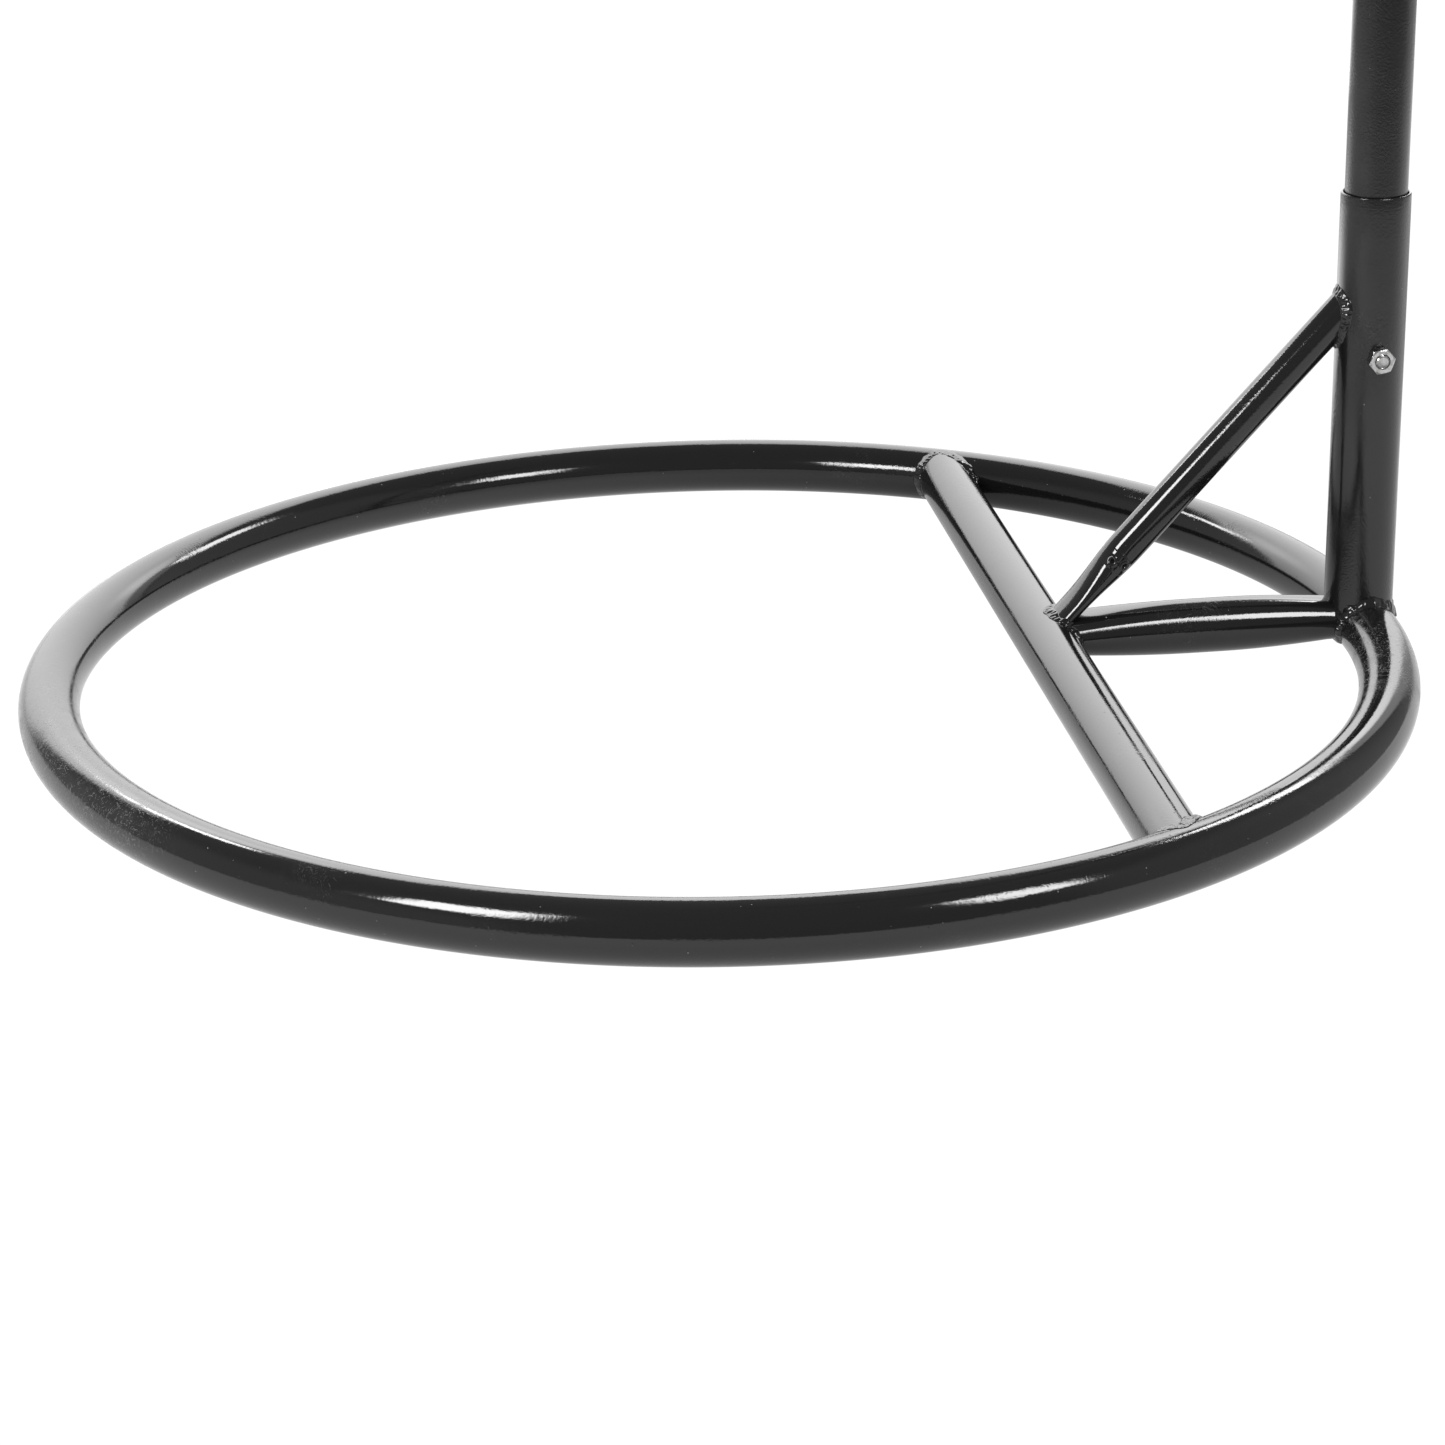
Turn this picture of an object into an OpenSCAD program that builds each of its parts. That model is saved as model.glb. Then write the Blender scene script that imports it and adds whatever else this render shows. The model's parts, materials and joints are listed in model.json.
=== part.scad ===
// Stand for a hanging swing seat: floor ring, braced mast socket,
// two-piece crook mast and a snap hook. Millimetres, +Z up, mast towards +X.

/* [Floor ring] */
// Outer diameter of the floor ring
ring_d = 1000; // [850:10:1250]
// Diameter of the ring's tube
ring_tube_d = 43; // [40:0.5:48]
// Wall of the ring's tube
ring_wall = 1.5; // [1.2:0.1:2.5]
// Diameter of the vent hole hidden under the mast socket
vent_d = 6; // [4:1:10]

/* [Cross bar] */
// Distance from the ring's centre to the cross bar's axis
cross_x = 241; // [180:1:300]
// Diameter of the cross bar's tube, under the ring's
cross_d = 42; // [36:0.5:42.5]
// Wall of the cross bar's tube
cross_wall = 1.5; // [1.2:0.1:2.5]

/* [Floor strut] */
// Diameter of the strut's tube
strut_d = 40; // [34:0.5:44]
// Height of the strut's axis above the floor
strut_z = 26.5; // [24:0.5:30]
// Wall of the strut's tube
strut_wall = 1.5; // [1.2:0.1:2.5]
// Height of the pressed end at the cross bar
strut_foot_h = 32; // [26:1:36]
// Height of the pressed end at the ring
strut_head_h = 30; // [26:1:36]
// Width of both pressed ends
strut_end_w = 46; // [42:1:54]
// Length of each pressed end
strut_end_l = 20; // [14:1:26]
// Length over which each pressed end becomes round
strut_blend_l = 36; // [20:1:40]

/* [Brace] */
// Diameter of the brace's tube
brace_d = 26; // [20:1:30]
// Wall of the brace's tube
brace_wall = 1.5; // [1.2:0.1:2.5]
// Height of the brace's axis over the cross bar's axis
brace_foot_z = 27; // [22:0.5:32]
// Height of the brace's axis at the socket's face
brace_head_z = 255.5; // [210:1:265]
// Thickness of the pressed foot
brace_flat_t = 12; // [8:1:16]
// Width of the pressed foot
brace_flat_w = 34; // [30:1:40]
// Distance along the brace where the pressed foot ends
brace_flat_l = 48; // [36:1:60]
// Length over which the pressed foot becomes round
brace_blend_l = 36; // [20:1:50]

/* [Mast socket] */
// Outer diameter of the socket
socket_d = 50; // [48:0.5:54]
// Wall of the socket
socket_wall = 2; // [1.5:0.1:2.2]
// Height of the socket's top edge
socket_top = 345; // [290:1:420]
// Height of the socket's lower edge, astride the ring
socket_foot = 34; // [30:1:36]

/* [Mast] */
// Outer diameter of the mast's tubes
mast_d = 44.5; // [40:0.5:45]
// Wall of the mast's tubes
mast_wall = 2; // [1.5:0.1:2.5]
// Height of the joint between lower mast and upper arm
joint_z = 1000; // [800:10:1200]
// Length of the upper arm's reduced end inside the lower mast
spigot_l = 90; // [70:5:120]
// Radial gap round the reduced end
spigot_gap = 0.25; // [0.1:0.05:0.5]
// Height where the arm starts to bend
bend_z = 1540; // [1300:10:1700]
// Radius of the arm's bend, to the tube's axis
arm_r = 380; // [310:5:460]
// Length of arm past the hanging point
arm_past = 38; // [30:1:80]

/* [Bolts] */
// Diameter of the bolts
bolt_d = 10; // [8:1:12]
// Clearance added to the diameter of a bolt's hole
bolt_gap = 0.5; // [0.3:0.1:1]
// Height of the bolt through socket and mast
bolt_z = 229; // [120:1:250]
// Size of hexagon head and nut across the flats
hex_af = 17; // [16:0.5:19]
// Thickness of the nut
nut_h = 8.4; // [6:0.2:10]
// Thickness of the bolt's head
head_h = 6.4; // [5:0.2:8]
// Length of bolt standing out of the nut
bolt_proud = 1.5; // [1:0.5:4]
// Turn of the lower nut about its bolt
nut_turn = 10; // [0:1:59]

/* [Hanging lug] */
// Thickness of the lug's plate
lug_t = 8; // [6:0.5:9]
// Width of the lug's plate
lug_w = 34; // [30:1:40]
// Radius of the lug's hole
lug_hole_r = 8; // [7:0.5:9]
// Distance from the arm's axis down to the lug's hole
lug_drop = 46; // [42:1:60]

/* [Snap hook] */
// Diameter of the hook's wire
wire_d = 9; // [8:0.5:10]
// Length of the hook, wire axis to wire axis
hook_l = 91; // [85:1:110]
// Width of the hook, wire axis to wire axis
hook_w = 34; // [32:1:40]
// Radius of the hook's corners, to the wire's axis
hook_r = 12; // [10:0.5:12]
// Diameter of the gate
gate_d = 8; // [7:0.5:8.5]
// Distance from the hook's top down to the gate's tip
gate_tip = 20.5; // [18:0.5:24]
// Distance from the hook's top down to the gate's rivet
gate_pivot = 70; // [66:0.5:72]
// Diameter of the gate's rivet
rivet_d = 3; // [2:0.2:3.6]
// Thickness of the tongue inside the gate's fork
tongue_t = 4; // [3:0.2:4.4]
// Wire diameter of the gate's spring
spring_wire = 0.7; // [0.4:0.1:0.8]
// Turns of the gate's spring
spring_turns = 6; // [4:1:8]

/* [Fits and welds] */
// Gap between pieces that move past each other
free_gap = 0.3; // [0.2:0.05:0.5]
// Radial running clearance of the rivet in the gate
run_gap = 0.05; // [0.02:0.01:0.1]
// Size of a weld bead
bead = 4.5; // [3:0.5:6]
// Height of the lowest point of any bead above the floor
bead_floor = 2; // [0.5:0.5:3]

/* [Hidden] */
$fn = 64;

black = "#17181a";
weld_black = "#1d1e20";
zinc = "#b9bcc0";
plastic = "#101010";

ring_z = ring_tube_d / 2;                 // height of the ring's and the cross bar's axis
ring_r = ring_d / 2 - ring_tube_d / 2;    // radius of the ring's axis
cross_half = sqrt(ring_r * ring_r - cross_x * cross_x);
mast_x = ring_d / 2 - socket_d / 2;       // socket flush with the ring's outer edge
foot_gap = 0.3;                           // lower mast's end above the ring's crown
strut_x0 = cross_x;
strut_x1 = ring_r;
brace_rise = brace_head_z - brace_foot_z;
brace_run = mast_x - socket_d / 2 - cross_x;
brace_angle = atan2(brace_rise, brace_run);
brace_l = norm([brace_rise, brace_run]) + socket_d / 2;
arm_cx = mast_x - arm_r;                  // centre of the arm's bend
lug_angle = 90 + asin(arm_cx / arm_r);    // where the bend passes over the ring's centre
arm_angle = lug_angle + arm_past / arm_r * 180 / PI;
lug_top_z = bend_z + arm_r * sin(lug_angle);
lug_z = lug_top_z - lug_drop;             // centre of the lug's hole
hook_z = lug_z - (lug_hole_r - wire_d / 2 - free_gap);
hook_y = hook_w / 2;
hook_flat = hook_y - hook_r;              // half length of the straight crown and bow
joint_bolt_z = joint_z - spigot_l / 2;
fork_top = gate_d / 2 + free_gap + 2;     // fork's depth above the rivet
spring_r = gate_d / 4 - spring_wire / 2;
spring_bore = spring_r + spring_wire / 2 + 0.2;
spring_l = 20;

// Tube's outer or inner skin round the floor ring's axis
module ring_solid(r) {
    translate([0, 0, ring_z]) rotate_extrude($fn = 96) translate([ring_r, 0]) circle(r = r);
}

// Round bar along the cross bar's axis
module cross_solid(r, half = cross_half) {
    translate([cross_x, 0, ring_z]) rotate([90, 0, 0]) cylinder(r = r, h = 2 * half, center = true);
}

// Round bar along the mast's axis
module mast_solid(r, z0, z1) {
    translate([mast_x, 0, z0]) cylinder(r = r, h = z1 - z0);
}

// Outline with round ends, w wide along X and t thick along Y
module slot_2d(w, t) {
    square([w - t, t], center = true);
    for (s = [-1, 1]) translate([s * (w - t) / 2, 0]) circle(d = t);
}

// Bar along +Z that is pressed flat from z0 to z1
module flat_bar(w, t, z0, z1) {
    translate([0, 0, z0]) linear_extrude(z1 - z0) slot_2d(w, t);
}

// Blend along +Z from a pressed section to a round one
module flat_to_round(w, t, d, z0, z1) {
    lap = 0.5;
    hull() {
        translate([0, 0, z0]) linear_extrude(lap, $fn = 32) slot_2d(w, t);
        translate([0, 0, z1 - lap]) cylinder(d = d, h = lap, $fn = 32);
    }
}

// Floor strut's skin; inset takes it inwards by the wall
module strut_solid(inset = 0, over = 0) {
    foot = cross_d / 2 + strut_end_l;
    head = strut_x1 - strut_x0 - ring_tube_d / 2 - strut_end_l;
    w = strut_end_w - 2 * inset;
    d = strut_d - 2 * inset;
    translate([strut_x0, 0, strut_z]) rotate([0, 90, 0]) rotate([0, 0, 90]) {
        flat_bar(w, strut_foot_h - 2 * inset, -over, foot);
        flat_to_round(w, strut_foot_h - 2 * inset, d, foot, foot + strut_blend_l);
        translate([0, 0, foot + strut_blend_l])
            cylinder(d = d, h = head - foot - 2 * strut_blend_l);
        translate([0, 0, head]) mirror([0, 0, 1])
            flat_to_round(w, strut_head_h - 2 * inset, d, 0, strut_blend_l);
        flat_bar(w, strut_head_h - 2 * inset, head, strut_x1 - strut_x0 + over);
    }
}

// Places children on the brace's axis, +Z along it from the cross bar
module on_brace() {
    translate([cross_x, 0, brace_foot_z]) rotate([0, 90 - brace_angle, 0]) rotate([0, 0, 90])
        children();
}

// Brace's skin; inset takes it inwards by the wall
module brace_solid(inset = 0, over = 0) {
    blend_end = brace_flat_l + brace_blend_l;
    w = brace_flat_w - 2 * inset;
    t = brace_flat_t - 2 * inset;
    on_brace() {
        flat_bar(w, t, -over, brace_flat_l);
        flat_to_round(w, t, brace_d - 2 * inset, brace_flat_l, blend_end);
        translate([0, 0, blend_end])
            cylinder(d = brace_d - 2 * inset, h = brace_l - blend_end + over);
    }
}

// Round bar along the arm's bend
module arm_bend(r) {
    translate([arm_cx, 0, bend_z]) rotate([90, 0, 0]) rotate_extrude(angle = arm_angle)
        translate([arm_r, 0]) circle(r = r);
}

// Hexagon along +Z
module hexagon(h) {
    cylinder(d = hex_af / cos(30), h = h, $fn = 6);
}

// Places children at a bolt's axis, +Z pointing to the nut's side (-Y)
module at_bolt(z) {
    translate([mast_x, 0, z]) rotate([90, 0, 0]) children();
}

module bolt(z, d) {
    color(zinc) at_bolt(z) {
        translate([0, 0, -d / 2]) cylinder(d = bolt_d, h = d + free_gap + nut_h + bolt_proud);
        translate([0, 0, -d / 2 - head_h]) hexagon(head_h);
    }
}

module nut(z, d, turn) {
    color(zinc) at_bolt(z) translate([0, 0, d / 2 + free_gap]) rotate([0, 0, turn]) difference() {
        hexagon(nut_h);
        translate([0, 0, -1]) cylinder(d = bolt_d, h = nut_h + 2);
    }
}

// Floor ring with its vent under the socket
module base_ring() {
    color(black) difference() {
        ring_solid(ring_tube_d / 2);
        ring_solid(ring_tube_d / 2 - ring_wall);
        translate([ring_r, 0, ring_z]) cylinder(d = vent_d, h = ring_tube_d);
    }
}

module cross_bar() {
    color(black) difference() {
        cross_solid(cross_d / 2);
        cross_solid(cross_d / 2 - cross_wall, cross_half + 1);
        ring_solid(ring_tube_d / 2);
    }
}

module floor_strut() {
    color(black) difference() {
        strut_solid();
        strut_solid(inset = strut_wall, over = 1);
        cross_solid(cross_d / 2);
        ring_solid(ring_tube_d / 2);
        mast_solid(socket_d / 2, socket_foot, socket_top);
    }
}

module brace() {
    color(black) difference() {
        brace_solid();
        brace_solid(inset = brace_wall, over = 1);
        cross_solid(cross_d / 2);
        strut_end(0, strut_foot_h, cross_x, cross_x + cross_d);
        mast_solid(socket_d / 2, socket_foot, socket_top + brace_l);
    }
}

// Socket: tube astride the ring, with a rounded top edge and a bolt hole
module mast_socket() {
    r0 = socket_d / 2 - socket_wall;
    color(black) difference() {
        translate([mast_x, 0, 0]) rotate_extrude() {
            translate([r0, socket_foot])
                square([socket_wall, socket_top - socket_wall / 2 - socket_foot]);
            translate([r0 + socket_wall / 2, socket_top - socket_wall / 2]) circle(d = socket_wall);
        }
        ring_solid(ring_tube_d / 2);
        at_bolt(bolt_z) cylinder(d = bolt_d + bolt_gap, h = 2 * socket_d, center = true);
    }
}

// Bead where the cross bar's end meets the ring, side -1 or 1 along Y
module weld_cross(side) {
    color(weld_black) difference() {
        intersection() {
            ring_solid(ring_tube_d / 2 + bead);
            cross_solid(cross_d / 2 + bead);
            translate([cross_x - ring_d / 2, side > 0 ? 0 : -ring_d, bead_floor]) cube(ring_d);
        }
        ring_solid(ring_tube_d / 2);
        cross_solid(cross_d / 2);
    }
}

module weld_cross_left() weld_cross(1);

module weld_cross_right() weld_cross(-1);

// Pressed end of the strut grown by g, from x0 to x1
module strut_end(g, h, x0, x1) {
    translate([x0, 0, strut_z]) rotate([0, 90, 0]) rotate([0, 0, 90])
        flat_bar(strut_end_w + 2 * g, h + 2 * g, 0, x1 - x0);
}

module weld_strut_foot() {
    color(weld_black) difference() {
        intersection() {
            strut_end(bead, strut_foot_h, cross_x, cross_x + cross_d / 2 + bead);
            cross_solid(cross_d / 2 + bead);
        }
        strut_end(0, strut_foot_h, cross_x, cross_x + cross_d);
        cross_solid(cross_d / 2);
        brace_foot_solid(bead);
    }
}

module weld_strut_head() {
    color(weld_black) difference() {
        intersection() {
            strut_end(bead, strut_head_h, ring_r - ring_tube_d, ring_r);
            ring_solid(ring_tube_d / 2 + bead);
        }
        strut_end(0, strut_head_h, ring_r - ring_tube_d, ring_r);
        ring_solid(ring_tube_d / 2);
        socket_bead_space();
    }
}

// Pressed foot of the brace grown by g
module brace_foot_solid(g) {
    on_brace() flat_bar(brace_flat_w + 2 * g, brace_flat_t + 2 * g, 0, brace_flat_l);
}

module weld_brace_foot() {
    color(weld_black) difference() {
        intersection() {
            brace_foot_solid(bead);
            union() {
                cross_solid(cross_d / 2 + bead);
                strut_end(bead, strut_foot_h, cross_x, cross_x + cross_d + bead);
            }
        }
        brace_foot_solid(0);
        cross_solid(cross_d / 2);
        strut_end(0, strut_foot_h, cross_x, cross_x + 2 * cross_d);
    }
}

module weld_brace_head() {
    color(weld_black) difference() {
        intersection() {
            on_brace() translate([0, 0, brace_l - socket_d])
                cylinder(d = brace_d + 2 * bead, h = socket_d);
            mast_solid(socket_d / 2 + bead, brace_head_z - socket_d, brace_head_z + socket_d);
        }
        on_brace() translate([0, 0, brace_flat_l]) cylinder(d = brace_d, h = brace_l);
        mast_solid(socket_d / 2, 0, socket_top);
    }
}

// Space that the socket's foot and its bead take
module socket_bead_space() {
    intersection() {
        mast_solid(socket_d / 2 + bead, socket_foot - bead, socket_foot + socket_d);
        ring_solid(ring_tube_d / 2 + 2 * bead);
    }
}

module weld_socket() {
    color(weld_black) difference() {
        socket_bead_space();
        mast_solid(socket_d / 2, socket_foot, socket_top);
        ring_solid(ring_tube_d / 2);
        strut_end(0, strut_head_h, ring_r - socket_d, ring_r);
    }
}

module lower_mast() {
    color(black) difference() {
        mast_solid(mast_d / 2, ring_tube_d + foot_gap, joint_z);
        mast_solid(mast_d / 2 - mast_wall, ring_tube_d, joint_z + 1);
        for (z = [bolt_z, joint_bolt_z])
            at_bolt(z) cylinder(d = bolt_d + bolt_gap, h = 2 * mast_d, center = true);
    }
}

module mast_bolt() bolt(bolt_z, socket_d);

module mast_nut() nut(bolt_z, socket_d, nut_turn);

module upper_arm() {
    spigot_r = mast_d / 2 - mast_wall - spigot_gap;
    color(black) difference() {
        union() {
            mast_solid(spigot_r, joint_z - spigot_l, joint_z + 1);
            mast_solid(mast_d / 2, joint_z + free_gap, bend_z);
            arm_bend(mast_d / 2);
        }
        mast_solid(spigot_r - mast_wall, joint_z - spigot_l - 1, joint_z + mast_d);
        mast_solid(mast_d / 2 - mast_wall, joint_z + mast_d / 2, bend_z);
        arm_bend(mast_d / 2 - mast_wall);
        at_bolt(joint_bolt_z) cylinder(d = bolt_d + bolt_gap, h = 2 * mast_d, center = true);
    }
}

module arm_bolt() bolt(joint_bolt_z, mast_d);

module arm_nut() nut(joint_bolt_z, mast_d, 0);

// Places children at the arm's open end, +Z out of it
module at_arm_end() {
    translate([arm_cx, 0, bend_z]) rotate([0, -arm_angle, 0]) translate([arm_r, 0, 0]) children();
}

// Push-in cap with a shallow dome
module arm_end_cap() {
    plug_l = 16;
    plug_sag = plug_l * plug_l / (2 * arm_r);  // how far the bore bends away along the plug
    dome_h = 6;
    dome_r = (mast_d * mast_d / 4 + dome_h * dome_h) / (2 * dome_h);
    color(plastic) at_arm_end() {
        translate([0, 0, -plug_l])
            cylinder(d = mast_d - 2 * (mast_wall + spigot_gap + plug_sag), h = plug_l);
        intersection() {
            translate([0, 0, dome_h - dome_r]) sphere(r = dome_r);
            cylinder(d = mast_d + 10, h = dome_h + 1);
        }
    }
}

// Plate under the arm, grown by g
module lug_solid(g) {
    translate([0, 0, lug_z]) rotate([90, 0, 0]) linear_extrude(lug_t + 2 * g, center = true) {
        circle(d = lug_w + 2 * g);
        translate([-lug_w / 2 - g, 0]) square([lug_w + 2 * g, lug_drop]);
    }
}

module hang_lug() {
    color(black) difference() {
        lug_solid(0);
        arm_bend(mast_d / 2);
        translate([0, 0, lug_z]) rotate([90, 0, 0]) cylinder(r = lug_hole_r, h = 2 * lug_t, center = true);
    }
}

module weld_lug() {
    color(weld_black) difference() {
        intersection() {
            lug_solid(bead);
            arm_bend(mast_d / 2 + bead);
        }
        lug_solid(0);
        arm_bend(mast_d / 2);
    }
}

// Wire of the hook between two points, [y, z] from the hook's top
module wire(a, b) {
    d = b - a;
    translate([0, a[0], hook_z + a[1]]) rotate([-atan2(d[0], d[1]), 0, 0])
        cylinder(d = wire_d, h = norm(d));
}

// Quarter bend of the hook's wire round [y, z], starting at angle from
module wire_bend(c, from) {
    translate([0, c[0], hook_z + c[1]]) rotate([90, 0, 90]) rotate([0, 0, from])
        rotate_extrude(angle = 90) translate([hook_r, 0]) circle(d = wire_d);
}

module at_rivet() {
    translate([0, hook_y, hook_z - gate_pivot]) children();
}

// Tongue under the gate, round about the rivet, down into the wire
module tongue(stub) {
    intersection() {
        at_rivet() rotate([0, 90, 0]) {
            cylinder(d = wire_d, h = tongue_t, center = true);
            translate([stub / 2, 0, 0]) cube([stub, wire_d, tongue_t], center = true);
        }
        at_rivet() translate([0, 0, -2 * stub]) cylinder(d = wire_d, h = 4 * stub);
    }
}

module hook_body() {
    stub = wire_d / 2 + free_gap + 1;      // from the rivet down to the full wire
    corner = hook_l - hook_r;
    color(zinc) difference() {
        union() {
            wire([-hook_flat, 0], [hook_flat, 0]);
            wire([-hook_flat, -hook_l], [hook_flat, -hook_l]);
            wire([-hook_y, -corner], [-hook_y, -hook_r]);
            wire([hook_y, free_gap - gate_tip], [hook_y, -hook_r]);
            wire([hook_y, -corner], [hook_y, -gate_pivot - stub]);
            wire_bend([hook_flat, -hook_r], 0);
            wire_bend([-hook_flat, -hook_r], 90);
            wire_bend([-hook_flat, -corner], 180);
            wire_bend([hook_flat, -corner], 270);
            tongue(stub + 1);
        }
        at_rivet() rotate([0, 90, 0]) cylinder(d = rivet_d + 2 * run_gap, h = 2 * wire_d, center = true);
    }
}

module hook_gate() {
    gate_l = gate_pivot - gate_tip;
    color(zinc) difference() {
        union() {
            at_rivet() cylinder(d = gate_d, h = gate_l);
            intersection() {
                at_rivet() rotate([0, 90, 0]) cylinder(d = gate_d, h = gate_d, center = true);
                at_rivet() translate([0, 0, -gate_d]) cylinder(d = gate_d, h = 2 * gate_d);
            }
        }
        at_rivet() translate([0, 0, fork_top - gate_d])
            cube([tongue_t + 2 * free_gap, 2 * gate_d, 2 * gate_d], center = true);
        at_rivet() rotate([0, 90, 0]) cylinder(d = rivet_d + 2 * run_gap, h = 2 * gate_d, center = true);
        at_rivet() translate([0, 0, fork_top - 1]) cylinder(r = spring_bore, h = spring_l + 1.5);
    }
}

// Rivet with a flat round head on each side of the gate's fork
module gate_rivet() {
    head_t = 1.2;
    face = gate_d / 2 + free_gap;
    color(zinc) at_rivet() rotate([0, 90, 0]) {
        cylinder(d = rivet_d, h = 2 * face, center = true);
        for (s = [0, 1]) mirror([0, 0, s]) translate([0, 0, face])
            cylinder(d1 = rivet_d + 2.4, d2 = rivet_d + 1.2, h = head_t);
    }
}

// Point of the spring's wire ring at turn t, angle a round the wire
function coil_point(t, a) = let (
    r = spring_r + spring_wire / 2 * cos(a),
    rise = (spring_l - spring_wire) * t / spring_turns)
    [r * cos(360 * t), r * sin(360 * t), rise + spring_wire / 2 * sin(a)];

module gate_spring() {
    sides = 6;
    steps = 12 * spring_turns;
    points = [for (i = [0:steps]) for (k = [0:sides - 1])
        coil_point(i / 12, 360 * k / sides)];
    skin = [for (i = [0:steps - 1]) for (k = [0:sides - 1]) let (
        k2 = (k + 1) % sides)
        [i * sides + k, i * sides + k2, (i + 1) * sides + k2, (i + 1) * sides + k]];
    ends = [[for (k = [sides - 1:-1:0]) k], [for (k = [0:sides - 1]) steps * sides + k]];
    color(zinc) at_rivet() translate([0, 0, fork_top + spring_wire / 2])
        polyhedron(points, concat(skin, ends));
}

base_ring();
cross_bar();
floor_strut();
brace();
mast_socket();
weld_cross_left();
weld_cross_right();
weld_strut_foot();
weld_strut_head();
weld_brace_foot();
weld_brace_head();
weld_socket();
lower_mast();
mast_bolt();
mast_nut();
upper_arm();
arm_bolt();
arm_nut();
arm_end_cap();
hang_lug();
weld_lug();
hook_body();
hook_gate();
gate_rivet();
gate_spring();
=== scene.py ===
"""Looks of the stand for a hanging swing seat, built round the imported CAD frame. Metres, +Z up."""
import json
import math

import bmesh
import bpy
import numpy as np
from mathutils import Matrix, Vector, noise

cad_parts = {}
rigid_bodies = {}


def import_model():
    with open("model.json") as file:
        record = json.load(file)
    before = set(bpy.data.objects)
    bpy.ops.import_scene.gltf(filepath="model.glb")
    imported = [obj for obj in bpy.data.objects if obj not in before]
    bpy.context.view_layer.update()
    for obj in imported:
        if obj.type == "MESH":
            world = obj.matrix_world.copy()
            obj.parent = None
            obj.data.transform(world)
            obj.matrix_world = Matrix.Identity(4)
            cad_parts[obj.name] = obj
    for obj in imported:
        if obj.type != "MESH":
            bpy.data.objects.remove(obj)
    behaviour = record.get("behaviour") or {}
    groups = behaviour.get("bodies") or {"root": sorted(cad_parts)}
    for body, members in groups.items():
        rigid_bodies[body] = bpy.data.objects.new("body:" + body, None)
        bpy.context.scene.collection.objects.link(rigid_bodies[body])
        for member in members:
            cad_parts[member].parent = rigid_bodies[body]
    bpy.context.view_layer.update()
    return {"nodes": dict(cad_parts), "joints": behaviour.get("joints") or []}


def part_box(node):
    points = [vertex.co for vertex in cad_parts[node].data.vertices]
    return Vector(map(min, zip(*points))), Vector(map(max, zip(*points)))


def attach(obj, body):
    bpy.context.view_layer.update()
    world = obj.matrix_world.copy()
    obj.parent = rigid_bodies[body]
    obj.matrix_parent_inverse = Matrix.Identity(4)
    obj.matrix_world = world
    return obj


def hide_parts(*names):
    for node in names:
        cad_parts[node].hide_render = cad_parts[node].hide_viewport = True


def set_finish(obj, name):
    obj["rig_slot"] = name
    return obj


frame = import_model()
MM = 0.001
X, Y, Z = np.eye(3)

# ---------------------------------------------------------------- sizes, read from the frame or set here
ring_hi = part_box("base_ring")[1]
RING_TUBE = ring_hi.z / 2                      # radius of the ring's tube
RING_R = ring_hi.x - RING_TUBE                 # radius of the ring's axis
RING_Z = RING_TUBE                             # height of its axis over the floor
cross_lo, cross_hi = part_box("cross_bar")
CROSS_X = (cross_lo.x + cross_hi.x) / 2
CROSS_TUBE = (cross_hi.x - cross_lo.x) / 2
socket_lo, socket_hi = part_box("mast_socket")
MAST_X = (socket_lo.x + socket_hi.x) / 2
SOCKET_R = (socket_hi.x - socket_lo.x) / 2
SOCKET_TOP = socket_hi.z
SOCKET_FOOT = socket_lo.z
SOCKET_WALL = 2 * MM
mast_lo, mast_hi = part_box("lower_mast")
MAST_R = (mast_hi.x - mast_lo.x) / 2
JOINT_Z = mast_hi.z                            # where the upper arm sits on the lower mast
arm_lo, arm_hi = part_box("upper_arm")
ARM_R = 380 * MM                               # radius of the arm's bend
BEND_Z = arm_hi.z - MAST_R - ARM_R
ARM_CX = MAST_X - ARM_R
ARM_PAST = 38 * MM                             # arm past the lug, along its axis
# Angles along the bend, from its start: at the lug and at the arm's tip
LUG_ANGLE = math.pi / 2 + math.asin(ARM_CX / ARM_R)
ARM_ANGLE = LUG_ANGLE + ARM_PAST / ARM_R
BRACE_R = 13 * MM
BRACE_FOOT_Z = 27 * MM
BRACE_HEAD_Z = 255.5 * MM
BRACE_FLAT = (16.5 * MM, 7.5 * MM)             # half width and half thickness of the pressed foot
BRACE_FLAT_END = 28 * MM                       # along the brace: where the pressed foot begins to open
BRACE_ROUND_AT = 88 * MM                       # along the brace: where the tube is round
STRUT_R = 20 * MM
STRUT_Z = 26.5 * MM
STRUT_FOOT = (23 * MM, 13 * MM)                # half width and half height of the pressed ends
STRUT_HEAD = (19 * MM, 14.5 * MM)
STRUT_FOOT_SHARE = 0.45                        # share of the strut over which its foot opens to a round
STRUT_HEAD_SHARE = 0.40
STRUT_HEAD_AT = 0.95                           # share of the strut where its head is fully pressed
STRUT_CURVE = 0.9                              # under 1 opens the pressed ends faster
HOOK_TOP = Vector(next(j for j in frame["joints"] if j["name"] == "hook_swing")["pos_m"])
HOOK_WIRE_R = 4.5 * MM
HOOK_PLAY = 0.3 * MM
LUG_HOLE_R = 8 * MM
# Height of the hole's centre: the hook's crown hangs in it
LUG_Z = HOOK_TOP.z + LUG_HOLE_R - HOOK_WIRE_R - HOOK_PLAY
TUBE_WALL = 2 * MM                             # of the mast and the arm
SINK = 1 * MM                                  # how far a tube's end runs into what it is welded to


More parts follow.
